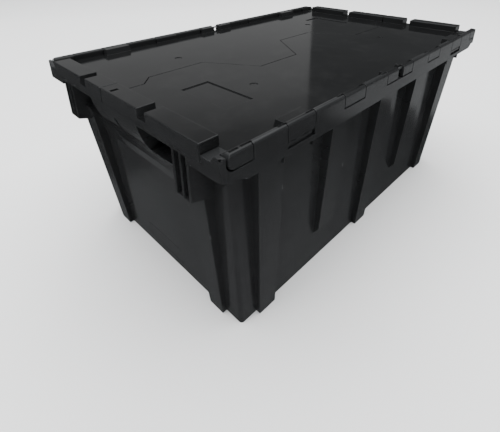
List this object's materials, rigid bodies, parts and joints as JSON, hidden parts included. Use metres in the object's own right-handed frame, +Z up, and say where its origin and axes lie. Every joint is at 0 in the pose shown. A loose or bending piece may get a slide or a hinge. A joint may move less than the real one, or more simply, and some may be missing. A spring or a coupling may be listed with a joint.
{
  "type": "stackable storage bin",
  "caption": "Black nesting storage bin with tapered ribbed walls, finger-pocket handles and two interlocking lid halves hinged on steel wires.",
  "frame": {"origin": "bottom centre of the closed bin's bounding box", "axes": "+X along the long sides, +Y across the width towards the rear lid's hinge, +Z up"},
  "size_m": [0.6858, 0.4318, 0.3048],
  "materials": {
    "tub_plastic": "moulded satin with fine grain",
    "lid_plastic": "moulded semi-gloss",
    "wire_steel": "drawn wire"
  },
  "bodies": {
    "tub_body": {"tub": "tub_plastic", "hinge_wire_front": "wire_steel", "hinge_wire_rear": "wire_steel"},
    "lid_front_body": {"lid_front": "lid_plastic"},
    "lid_rear_body": {"lid_rear": "lid_plastic"}
  },
  "joints": [
    {"name": "lid_front_hinge", "type": "hinge", "parent": "tub_body", "child": "lid_front_body", "pos_m": [0, -0.2114, 0.2985], "axis": [1, 0, 0], "range_deg": [0, 265]},
    {"name": "lid_rear_hinge", "type": "hinge", "parent": "tub_body", "child": "lid_rear_body", "pos_m": [0, 0.2114, 0.2985], "axis": [-1, 0, 0], "range_deg": [0, 265]}
  ]
}
